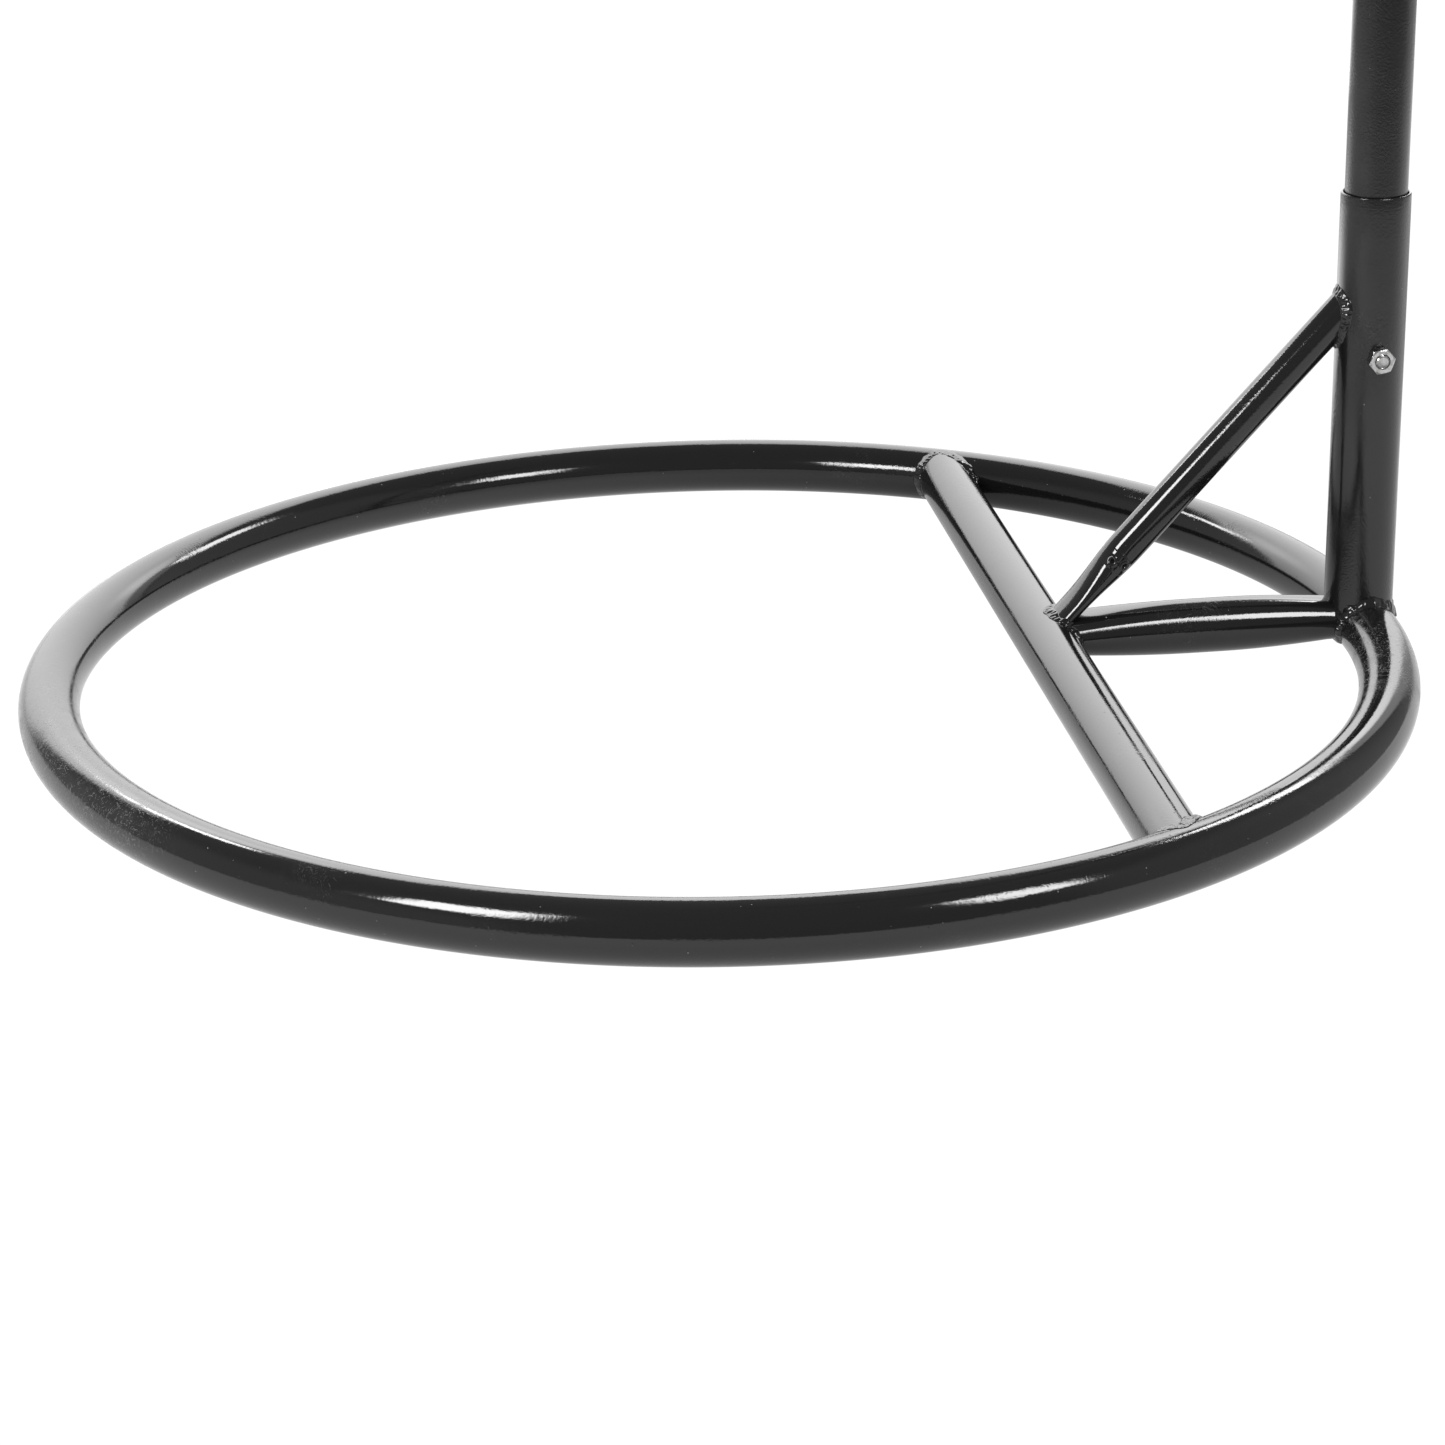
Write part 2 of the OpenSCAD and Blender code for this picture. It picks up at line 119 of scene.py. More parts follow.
# ---------------------------------------------------------------- mesh helpers
def finish_mesh(name, verts, faces, body, slot, replaced=(), sharp=38):
    """Makes a smooth-shaded object of the mesh, with its normals outwards, riding on a body."""
    mesh = bpy.data.meshes.new(name)
    mesh.from_pydata([tuple(v) for v in verts], [], [tuple(f) for f in faces])
    bm = bmesh.new()
    bm.from_mesh(mesh)
    bmesh.ops.remove_doubles(bm, verts=bm.verts, dist=1e-6)
    bmesh.ops.recalc_face_normals(bm, faces=bm.faces)
    bm.to_mesh(mesh)
    bm.free()
    mesh.polygons.foreach_set("use_smooth", [True] * len(mesh.polygons))
    mesh.set_sharp_from_angle(angle=math.radians(sharp))
    obj = bpy.data.objects.new(name, mesh)
    bpy.context.scene.collection.objects.link(obj)
    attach(obj, body)
    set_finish(obj, slot)
    if replaced:
        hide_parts(*replaced)
    return obj


def skin(rings, loop=False, cap=True):
    """Vertices and faces over rings of equally many points; loop joins the last ring to the first."""
    rings = np.asarray(rings, float)
    n, k = rings.shape[:2]
    verts = rings.reshape(-1, 3)
    faces = []
    for i in range(n if loop else n - 1):
        a, b = i * k, ((i + 1) % n) * k
        for j in range(k):
            q = (j + 1) % k
            faces.append((a + j, a + q, b + q, b + j))
    if cap and not loop:
        faces.append(tuple(range(k - 1, -1, -1)))
        faces.append(tuple(range((n - 1) * k, n * k)))
    return verts, faces


def lathe(profile, centre, sides=96):
    """Body of revolution from (radius, height) points, about the upright axis through centre."""
    turn = np.linspace(0, 2 * math.pi, sides, endpoint=False)
    rings = []
    for r, h in profile:
        x, y = r * np.cos(turn), r * np.sin(turn)
        rings.append(np.stack((x, y, np.full_like(x, h)), 1) + np.array(centre))
    return skin(rings, cap=False)


def round_edge(r, h, radius, steps=5, start=0.0, sweep=math.pi / 2):
    """(radius, height) points round a corner whose arc is centred at (r, h)."""
    angles = [start + sweep * i / steps for i in range(steps + 1)]
    return [(r + radius * math.cos(a), h + radius * math.sin(a)) for a in angles]


def smooth(t):
    """Eases from 0 to 1 as t goes from 0 to 1."""
    t = min(max(t, 0.0), 1.0)
    return t * t * (3 - 2 * t)


def squeeze(c, s, half_w, half_t):
    """Point (c, s) of the unit circle, moved to the rounded flat section of a pressed tube."""
    flat = half_w - half_t
    steepness = 6
    shift = flat * math.tanh(steepness * c) / math.tanh(steepness) if flat > 1e-6 else 0.0
    return half_t * c + shift, half_t * s


def wrapped(angle):
    """The same angle between minus and plus half a turn."""
    return (angle + math.pi) % (2 * math.pi) - math.pi


# ---------------------------------------------------------------- distances to the plain bars
# Each gives how far a point is outside a surface, negative inside.
def to_ring(p):
    return math.hypot(math.hypot(p[0], p[1]) - RING_R, p[2] - RING_Z) - RING_TUBE


def to_cross(p):
    return math.hypot(p[0] - CROSS_X, p[2] - RING_Z) - CROSS_TUBE


def to_socket(p):
    return math.hypot(p[0] - MAST_X, p[1]) - SOCKET_R


def to_arm(p):
    return math.hypot(math.hypot(p[0] - ARM_CX, p[2] - BEND_Z) - ARM_R, p[1]) - MAST_R


def gradient(dist, p, e=1e-5):
    """Unit normal of the surface that dist measures to, at p."""
    g = [dist((p[0] + e * (i == 0), p[1] + e * (i == 1), p[2] + e * (i == 2))) - dist(p) for i in range(3)]
    return np.array(g) / np.linalg.norm(g)


def reach(p, direction, dist, far=0.12):
    """How far p travels along direction before it meets the surface; p starts outside."""
    travel = 0.0
    for _ in range(200):
        d = dist(p + travel * direction)
        if d < 1e-6 or travel > far:
            break
        travel += max(0.6 * d, 1e-6)
    return travel


# ---------------------------------------------------------------- tubes
def floor_ring():
    """The tube ring on the floor, whole all the way round."""
    around, sides = 640, 72
    turn = np.linspace(0, 2 * math.pi, around, endpoint=False)
    side = np.linspace(0, 2 * math.pi, sides, endpoint=False)
    rings = []
    for a in turn:
        r = RING_R + RING_TUBE * np.cos(side)
        rings.append(np.stack([r * math.cos(a), r * math.sin(a), RING_Z + RING_TUBE * np.sin(side)], 1))
    return finish_mesh("floor_ring", *skin(rings, loop=True), "stand", "black_paint", ["base_ring"])


def chord_bar():
    """Round bar between the ring's inner sides, cut to their curve."""
    sides, steps = 96, 48
    ends = []
    for a in np.linspace(0, 2 * math.pi, sides, endpoint=False):
        p = np.array([CROSS_X + CROSS_TUBE * math.cos(a), 0.0, RING_Z + CROSS_TUBE * math.sin(a)])
        ends.append((p, reach(p, Y, to_ring, far=0.6) + SINK))
    rings = [[p + Y * y * t for p, y in ends] for t in np.linspace(-1, 1, steps)]
    return finish_mesh("chord_bar", *skin(rings), "stand", "black_paint", ["cross_bar"])


def strut_section(t, c, s):
    """Point of the strut's section at t (0 at the cross bar, 1 at the ring): pressed at both ends."""
    end_w, end_h = STRUT_FOOT if t < 0.5 else STRUT_HEAD
    from_end = t / STRUT_FOOT_SHARE if t < 0.5 else (STRUT_HEAD_AT - t) / STRUT_HEAD_SHARE
    belly = math.sin(math.pi / 2 * min(max(from_end, 0.0), 1.0)) ** STRUT_CURVE
    half_w = end_w + (STRUT_R - end_w) * belly
    half_h = end_h + (STRUT_R - end_h) * belly
    return squeeze(c, s, half_w, half_h)


def pressed_strut():
    """Floor strut, cut to the cross bar's curve at its foot and to the ring's at its head."""
    sides, steps = 96, 72
    mid = (CROSS_X + RING_R) / 2
    columns = []
    for a in np.linspace(0, 2 * math.pi, sides, endpoint=False):
        c, s = math.cos(a), math.sin(a)
        y0, z0 = strut_section(0, c, s)
        y1, z1 = strut_section(1, c, s)
        back = reach(np.array([mid, y0, STRUT_Z + z0]), -X, to_cross, far=0.2)
        front = reach(np.array([mid, y1, STRUT_Z + z1]), X, to_ring, far=0.2)
        columns.append((c, s, mid - back - SINK, mid + front + SINK))
    rings = []
    for t in np.linspace(0, 1, steps):
        ring = []
        for c, s, x0, x1 in columns:
            y, z = strut_section(t, c, s)
            ring.append((x0 + (x1 - x0) * t, y, STRUT_Z + z))
        rings.append(ring)
    return finish_mesh("pressed_strut", *skin(rings), "stand", "black_paint", ["floor_strut"])


BRACE_ANGLE = math.atan2(BRACE_HEAD_Z - BRACE_FOOT_Z, MAST_X - SOCKET_R - CROSS_X)
BRACE_DIR = np.array([math.cos(BRACE_ANGLE), 0, math.sin(BRACE_ANGLE)])
BRACE_UP = np.array([-math.sin(BRACE_ANGLE), 0, math.cos(BRACE_ANGLE)])
BRACE_START = np.array([CROSS_X, 0, BRACE_FOOT_Z])


def brace_section(along, c, s):
    """Point of the brace's section: across it, and up from its axis."""
    k = 1 - smooth((along - BRACE_FLAT_END) / (BRACE_ROUND_AT - BRACE_FLAT_END))
    half_w = BRACE_R + (BRACE_FLAT[0] - BRACE_R) * k
    half_t = BRACE_R + (BRACE_FLAT[1] - BRACE_R) * k
    return half_w * c, half_t * s


def brace_point(along, c, s):
    """Point on the brace's surface, measured along it from the cross bar's axis."""
    w, t = brace_section(along, c, s)
    return BRACE_START + BRACE_DIR * along + BRACE_UP * t + np.array([0, w, 0])


# Vent holes drilled where the tube starts to flatten: along the brace, and angle round it
BRACE_VENTS = ((76 * MM, math.radians(-158)), (73 * MM, math.radians(-206)))
VENT_R = 2.2 * MM
LOW_ALONG = 45 * MM                            # places on the brace that are clear of both its ends
HIGH_ALONG = 200 * MM


def vent_band(along, a):
    """Height of the ragged raised band that the vents sit in, on the near side only."""
    centre_turn, half_turn = math.radians(-182), math.radians(38)
    centre_along, half_along, slope = BRACE_VENTS[1][0] + 1.5 * MM, 7.0 * MM, 0.9 * MM
    near = smooth(1.6 - abs(wrapped(a - centre_turn)) / half_turn)
    ragged = 1.2 * MM * noise.noise(Vector((7 * a, 3, 5)))
    inside = smooth((half_along + ragged - abs(along - centre_along)) / slope)
    return 0.3 * MM * near * inside


def pressed_brace():
    """Tube with a pressed foot, two small vent holes in its near side, cut to the socket's curve."""
    sides = 144
    vent_depth, rim_height = 2.4 * MM, 0.6 * MM
    columns = []
    for a in np.linspace(0, 2 * math.pi, sides, endpoint=False):
        c, s = math.cos(a), math.sin(a)
        foot = LOW_ALONG - reach(brace_point(LOW_ALONG, c, s), -BRACE_DIR, to_cross) - SINK
        head = HIGH_ALONG + reach(brace_point(HIGH_ALONG, c, s), BRACE_DIR, to_socket, far=0.3) + SINK
        columns.append((a, c, s, foot, head))
    spans = ((0, 0.14, 34), (0.14, 0.26, 90), (0.26, 1, 50))    # closest together round the vents
    cuts = [0.0] + [t for start, end, count in spans for t in np.linspace(start, end, count)[1:]]
    rings = []
    for t in cuts:
        ring = []
        for a, c, s, foot, head in columns:
            along = foot + (head - foot) * t
            p = brace_point(along, c, s)
            for v_along, v_turn in BRACE_VENTS:
                off = math.hypot(along - v_along, BRACE_R * wrapped(a - v_turn))
                inwards = BRACE_START + BRACE_DIR * along - p
                inwards /= np.linalg.norm(inwards)
                rim = rim_height * math.exp(-((off - 1.5 * VENT_R) / (0.45 * VENT_R)) ** 2)
                p = p + inwards * (vent_depth * (1 - smooth(off / VENT_R)) - rim)
            p = p - inwards * vent_band(along, a)
            ring.append(p)
        rings.append(ring)
    return finish_mesh("pressed_brace", *skin(rings), "stand", "black_paint", ["brace"])


def socket_tube():
    """Socket with a rolled top edge, open at the top, its lower edge astride the ring."""
    sides = 128
    lip = SOCKET_WALL / 2
    profile = [(SOCKET_R - SOCKET_WALL, 60 * MM), (SOCKET_R - SOCKET_WALL, SOCKET_TOP - 12 * MM)]
    profile += reversed(round_edge(SOCKET_R - lip, SOCKET_TOP - lip, lip, 10, 0, math.pi))
    profile += [(SOCKET_R, SOCKET_TOP - step * MM) for step in (12, 60, 110, 160, 210, 260)]
    turn = np.linspace(0, 2 * math.pi, sides, endpoint=False)
    rings = [[(MAST_X + r * math.cos(a), r * math.sin(a), h) for a in turn] for r, h in profile]
    foot = []
    for a in turn:
        x, y = MAST_X + SOCKET_R * math.cos(a), SOCKET_R * math.sin(a)
        foot.append((x, y, socket_seam_z(x, y) - SINK))
    rings.append(foot)
    return finish_mesh("socket_tube", *skin(rings, cap=False), "stand", "black_paint", ["mast_socket"])


def socket_seam_z(x, y):
    """Height where the socket's wall meets the ring, no lower than the socket's foot."""
    off = math.hypot(x, y) - RING_R
    low = SOCKET_FOOT - RING_Z
    return RING_Z + math.sqrt(max(RING_TUBE ** 2 - off ** 2, low ** 2))


def mast_tube():
    """Lower mast: starts inside the socket, ends in a rounded edge at the joint."""
    edge = 0.8 * MM
    straight = JOINT_Z - mast_lo.z - edge
    inner = MAST_R - TUBE_WALL
    profile = [(inner, mast_lo.z), (MAST_R, mast_lo.z)]
    profile += [(MAST_R, mast_lo.z + straight * t) for t in (0.2, 0.35, 0.5, 0.65, 0.8, 0.9)]
    profile += round_edge(MAST_R - edge, JOINT_Z - edge, edge)
    profile += [(inner, JOINT_Z), (inner, mast_lo.z)]
    return finish_mesh("mast_tube", *lathe(profile, (MAST_X, 0, 0)), "stand", "black_paint", ["lower_mast"])


def crook_arm():
    """Upper arm: reduced end in the mast, shoulder, straight run and bend, open at its tip."""
    sides, steps = 96, 150
    turn = np.linspace(0, 2 * math.pi, sides, endpoint=False)
    edge, slack, seam = 0.8 * MM, 0.25 * MM, 0.3 * MM
    bore = MAST_R - TUBE_WALL
    reduced = bore - slack
    shoulder = JOINT_Z + seam
    lower = [(reduced - TUBE_WALL, arm_lo.z), (reduced, arm_lo.z), (reduced, shoulder)]
    lower += [(MAST_R - edge + edge * math.sin(u), shoulder + edge * (1 - math.cos(u)))
              for u in np.linspace(0, math.pi / 2, 6)]
    lower += [(MAST_R, shoulder + h) for h in (0.01, 0.06, 0.16, 0.28, 0.40)]
    rings = [[(MAST_X + r * math.cos(a), r * math.sin(a), h) for a in turn] for r, h in lower]
    for u in np.linspace(0, ARM_ANGLE, steps):
        rings.append(arm_circle(u, MAST_R, turn))
    rings.append(arm_circle(ARM_ANGLE, bore, turn))
    rings.append(arm_circle(ARM_ANGLE - 0.08, bore, turn))
    return finish_mesh("crook_arm", *skin(rings, cap=False), "stand", "black_paint", ["upper_arm"])


def arm_circle(u, r, turn):
    """Ring of points round the arm's bend at angle u from its start."""
    out = np.array([math.cos(u), 0, math.sin(u)])
    centre = np.array([ARM_CX, 0, BEND_Z]) + ARM_R * out
    return [centre + r * (math.cos(a) * out + np.array([0, math.sin(a), 0])) for a in turn]


def end_cap():
    """Push-in cap: rim with a rounded edge and a shallow dome, at the arm's tip."""
    dome, rim, edge = 6 * MM, 2.2 * MM, 0.8 * MM
    plug = MAST_R - TUBE_WALL - 0.6 * MM
    profile = [(0, -16 * MM), (plug - 1 * MM, -16 * MM), (plug, -15 * MM), (plug, 0)]
    profile += [(MAST_R - 0.2 * MM, 0)]
    profile += round_edge(MAST_R - edge - 0.1 * MM, rim - edge, edge)
    inner = MAST_R - 2 * edge
    for u in np.linspace(0.05, math.pi / 2, 14):
        profile.append((inner * math.cos(u), rim + (dome - rim) * math.sin(u)))
    verts, faces = lathe(profile, (0, 0, 0))
    place = Matrix.Translation((ARM_CX, 0, BEND_Z)) @ Matrix.Rotation(-ARM_ANGLE, 4, "Y")
    place = place @ Matrix.Translation((ARM_R, 0, 0))
    verts = [place @ Vector(v) for v in verts]
    return finish_mesh("end_cap", verts, faces, "stand", "cap_plastic", ["arm_end_cap"])


def lug_plate():
    """Plate with a rounded lower end, a hole and broken edges; its top runs up into the arm."""
    lo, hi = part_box("hang_lug")
    half_w, half_t, edge = (hi.x - lo.x) / 2, (hi.y - lo.y) / 2, 0.9 * MM
    rise = hi.z - LUG_Z + 2 * MM
    count = 96
    outer, inner = [], []
    for i in range(count):
        a = 2 * math.pi * i / count - math.pi / 2
        c, s = math.cos(a), math.sin(a)
        inner.append((c, s))
        if s <= 0:
            outer.append((half_w * c, half_w * s, c, s))
        else:
            k = max(abs(c) / half_w, s / rise)
            x, z = c / k, s / k
            at_side = abs(x) >= half_w - 1e-9
            outer.append((x, z, math.copysign(1, x) if at_side else 0, 0 if z < rise else 1))
    rings = []
    for y, inset in ((-half_t, edge), (-half_t + edge, 0), (half_t - edge, 0), (half_t, edge)):
        rings.append([(x - inset * nx, y, LUG_Z + z - inset * nz) for x, z, nx, nz in outer])
    hole = LUG_HOLE_R
    for y, grow in ((half_t, edge), (half_t - edge, 0), (-half_t + edge, 0), (-half_t, edge)):
        rings.append([((hole + grow) * c, y, LUG_Z + (hole + grow) * s) for c, s in inner])
    verts, faces = skin(rings, loop=True)
    return finish_mesh("lug_plate", verts, faces, "stand", "black_paint", ["hang_lug"], sharp=50)


# ---------------------------------------------------------------- welds
BEAD_PITCH = 3.4 * MM                          # from one ripple of a bead to the next
BEAD_RIPPLE = 0.40 * MM
BEAD_BLOB = 0.5 * MM                           # height of the lumps on it
BEAD_SINK = 0.6 * MM                           # how far its toes reach into the surfaces
BEAD_ROOT = 0.8 * MM                           # how far its root does
BEAD_LOWEST = 0.3 * MM                         # above the floor
BEAD_FULLNESS = 0.66                           # 0.5 is a flat bead, more stands out
BEAD_LAG = 0.35                                # how far the ripples curve back, in ripples
WOBBLE_SCALE = 160
BLOB_SCALE = 420


def fillet(edge_points, size, name, node, seed, lump=0.22):
    """Weld bead along a closed seam; size is how wide it lies on each surface.

    Each seam point has the two surface normals it sits between. lump is how much the width varies.
    """
    points = [np.array(p) for p, _, _ in edge_points]
    n = len(points)
    length = [0.0]
    for i in range(1, n + 1):
        length.append(length[-1] + float(np.linalg.norm(points[i % n] - points[i - 1])))
    total = length[-1]
    pitch = total / max(1, round(total / BEAD_PITCH))
    rings = []
    for i, (p, n_a, n_b) in enumerate(edge_points):
        n_a, n_b = np.array(n_a), np.array(n_b)
        up_a = n_b - n_a * float(n_a @ n_b)
        up_b = n_a - n_b * float(n_a @ n_b)
        up_a /= np.linalg.norm(up_a)
        up_b /= np.linalg.norm(up_b)
        p = np.array(p)
        wob_a = noise.noise(Vector(p * WOBBLE_SCALE) + Vector((seed, 0, 0)))
        wob_b = noise.noise(Vector(p * WOBBLE_SCALE) + Vector((0, seed, 7)))
        leg_a = size * (1 + 2 * lump * wob_a)
        leg_b = size * (1 + 2 * lump * wob_b)
        ring = []
        steps = 9
        toe_a, toe_b = p + up_a * leg_a, p + up_b * leg_b
        crown = p + BEAD_FULLNESS * (up_a * leg_a + up_b * leg_b)
        out = (n_a + n_b) / np.linalg.norm(n_a + n_b)
        ring.append(toe_a - n_a * BEAD_SINK)
        for k in range(steps + 1):
            u = k / steps
            q = (1 - u) ** 2 * toe_a + 2 * u * (1 - u) * crown + u * u * toe_b
            bow = 1 - (2 * u - 1) ** 2
            phase = 2 * math.pi * (length[i] / pitch - BEAD_LAG * bow)
            scale = abs(math.sin(phase / 2)) - 0.5
            blob = noise.noise(Vector(q * BLOB_SCALE) + Vector((seed, seed, 0)))
            ring.append(q + out * bow ** 0.5 * (BEAD_RIPPLE * scale + BEAD_BLOB * blob))
        ring.append(toe_b - n_b * BEAD_SINK)
        ring.append(p - (n_a + n_b) * BEAD_ROOT)
        rings.append([(x, y, max(z, BEAD_LOWEST)) for x, y, z in ring])
    return finish_mesh(name, *skin(rings, loop=True), "stand", "weld_paint", [node], sharp=75)


def seam_round_bar(start, along, across, up, radii, dist, count=220, far=0.3):
    """Seam of a bar (its section from radii(c, s)) that runs along a direction into a surface."""
    points = []
    for i in range(count):
        a = 2 * math.pi * i / count
        w, t = radii(math.cos(a), math.sin(a))
        w2, t2 = radii(math.cos(a + 0.01), math.sin(a + 0.01))
        p = start + across * w + up * t
        tangent = across * (w2 - w) + up * (t2 - t)
        n_a = np.cross(tangent, along)
        n_a /= np.linalg.norm(n_a)
        if float(n_a @ (across * w + up * t)) < 0:
            n_a = -n_a
        hit = p + along * reach(p, along, dist, far)
        points.append((hit, n_a, gradient(dist, hit)))
    return points


def welds():
    """The eight beads: both ends of the cross bar, strut and brace, the socket's foot and the lug."""
    for side, place in ((1, "left"), (-1, "right")):
        seam = seam_round_bar(np.array([CROSS_X, side * 0.3, RING_Z]), Y * side, X, Z,
                              lambda c, s: (CROSS_TUBE * c, CROSS_TUBE * s), to_ring)
        fillet(seam, 4.2 * MM, f"bead_cross_{place}", f"weld_cross_{place}", 3 + side)
    mid = np.array([(CROSS_X + RING_R) / 2, 0, STRUT_Z])
    seam = seam_round_bar(mid, -X, Y, Z, lambda c, s: strut_section(0, c, s), to_cross)
    fillet(seam, 3.0 * MM, "bead_strut_foot", "weld_strut_foot", 11)
    seam = seam_round_bar(mid, X, Y, Z, lambda c, s: strut_section(1, c, s), to_ring)
    fillet(seam, 4.0 * MM, "bead_strut_head", "weld_strut_head", 17)
    start = BRACE_START + BRACE_DIR * LOW_ALONG
    seam = seam_round_bar(start, -BRACE_DIR, Y, BRACE_UP, lambda c, s: brace_section(0, c, s), to_cross)
    fillet(seam, 4.2 * MM, "bead_brace_foot", "weld_brace_foot", 23)
    start = BRACE_START + BRACE_DIR * HIGH_ALONG
    seam = seam_round_bar(start, BRACE_DIR, Y, BRACE_UP, lambda c, s: (BRACE_R * c, BRACE_R * s), to_socket)
    fillet(seam, 4.2 * MM, "bead_brace_head", "weld_brace_head", 29)
    seam = []
    for i in range(240):
        a = 2 * math.pi * i / 240
        n_a = np.array([math.cos(a), math.sin(a), 0])
        p = np.array([MAST_X, 0, 0]) + SOCKET_R * n_a
        p[2] = socket_seam_z(p[0], p[1])
        n_b = gradient(to_ring, p)
        seam.append((p, n_a, n_b))
    fillet(seam, 5.0 * MM, "bead_socket", "weld_socket", 37, lump=0.3)
    lo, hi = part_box("hang_lug")
    half_w, half_t = (hi.x - lo.x) / 2, (hi.y - lo.y) / 2
    seam = []
    corner = 1.5 * MM
    for i in range(160):
        a = 2 * math.pi * i / 160
        c, s = math.cos(a), math.sin(a)
        k = max(abs(c) / half_w, abs(s) / half_t)
        x, y = c / k, s / k
        at_end, at_face = abs(x) > half_w - corner, abs(y) > half_t - corner
        n_a = X * at_end * math.copysign(1, x) + Y * at_face * math.copysign(1, y)
        n_a /= np.linalg.norm(n_a)
        p = np.array([x, y, LUG_Z + 2 * MM])
        p = p + Z * reach(p, Z, to_arm)
        seam.append((p, n_a, gradient(to_arm, p)))
    fillet(seam, 3.6 * MM, "bead_lug", "weld_lug", 41)


# ---------------------------------------------------------------- bolts
HEX_AF = 17 * MM                               # across the flats
HEX_FACE_SHARE = 0.95                          # width of the flat end face, of the width across flats
BOLT_R = 5 * MM
THREAD_PITCH = 1.5 * MM
THREAD_DEPTH = 0.55 * MM
TIP_CHAMFER = 0.6 * MM


def hexagon_skin(z0, z1, turn, bore=0.0, chamfer_high=True):
    """Rings of a hexagonal prism with turned-off corners at z0, and at z1 if chamfer_high."""
    count = 96
    apothem, corner = HEX_AF / 2, HEX_AF / 2 / math.cos(math.pi / 6)
    face_r = HEX_FACE_SHARE * HEX_AF / 2
    rings = []

    def outline(cut):
        ring = []
        for i in range(count):
            a = 2 * math.pi * i / count + turn
            flat = (a - turn) % (math.pi / 3) - math.pi / 6
            ring.append((min(apothem / math.cos(flat), cut), a))
        return ring

    slope = math.tan(math.radians(30))
    steps = 5
    step = (corner - face_r) / steps
    levels = [(z0 + step * slope * i, face_r + step * i) for i in range(steps + 1)]
    if chamfer_high:
        levels += [(z1 - step * slope * (steps - i), corner - step * i) for i in range(steps + 1)]
    else:
        levels += [(z1, corner)]
    for z, cut in levels:
        rings.append([(r * math.cos(a), r * math.sin(a), z) for r, a in outline(cut)])
    turn_list = [a for _, a in outline(corner)]
    if bore:
        edge = 0.7 * MM
        for r, z in ((bore + edge, z1), (bore, z1 - edge), (bore, z0 + edge), (bore + edge, z0)):
            rings.append([(r * math.cos(a), r * math.sin(a), z) for a in turn_list])
    return rings


def to_bolt_axis(verts, z):
    """Puts a part drawn along +Z on a bolt's axis, +Z towards -Y."""
    return [(MAST_X + v[0], -v[2], z + v[1]) for v in verts]


def bolt_and_nut(tag, z, tube_r, turn):
    """Hexagon nut, head and threaded shank through a tube, on the axis at height z."""
    lo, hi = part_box(f"{tag}_nut")
    nut_in, nut_out = -hi.y, -lo.y
    rings = hexagon_skin(nut_in, nut_out, turn, bore=BOLT_R)
    verts, faces = skin(rings, loop=True)
    nut = f"{tag}_nut"
    finish_mesh(f"{tag}_hex_nut", to_bolt_axis(verts, z), faces, "stand", "zinc", [nut], sharp=22)
    lo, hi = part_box(f"{tag}_bolt")
    head_out, tip = -hi.y, -lo.y
    head_turn = 0.3
    verts, faces = skin(hexagon_skin(head_out, -tube_r, head_turn, chamfer_high=False))
    finish_mesh(f"{tag}_hex_head", to_bolt_axis(verts, z), faces, "stand", "zinc", sharp=22)
    sides = 48
    turns = [2 * math.pi * i / sides for i in range(sides)]
    rings = []
    thread_from = tube_r - 6 * MM
    heights = [-tube_r, thread_from - 1 * MM]
    heights += list(np.arange(thread_from, tip - 0.9 * MM, THREAD_PITCH / 8))
    heights += [tip - TIP_CHAMFER, tip]
    for h in heights:
        ring = []
        for a in turns:
            r = BOLT_R - 0.05 * MM
            if h >= thread_from:
                r -= THREAD_DEPTH * abs(((h / THREAD_PITCH - a / (2 * math.pi)) % 1) * 2 - 1)
            if h > tip - 0.7 * MM:
                r = BOLT_R - 0.7 * MM - (0.5 * MM if h == tip else 0)
            ring.append((r * math.cos(a), r * math.sin(a), h))
        rings.append(ring)
    dish_r, dish_depth = 2.2 * MM, 0.25 * MM
    rings.append([(dish_r * math.cos(a), dish_r * math.sin(a), tip - dish_depth) for a in turns])
    verts, faces = skin(rings)
    finish_mesh(f"{tag}_shank", to_bolt_axis(verts, z), faces, "stand", "zinc", [f"{tag}_bolt"], sharp=30)


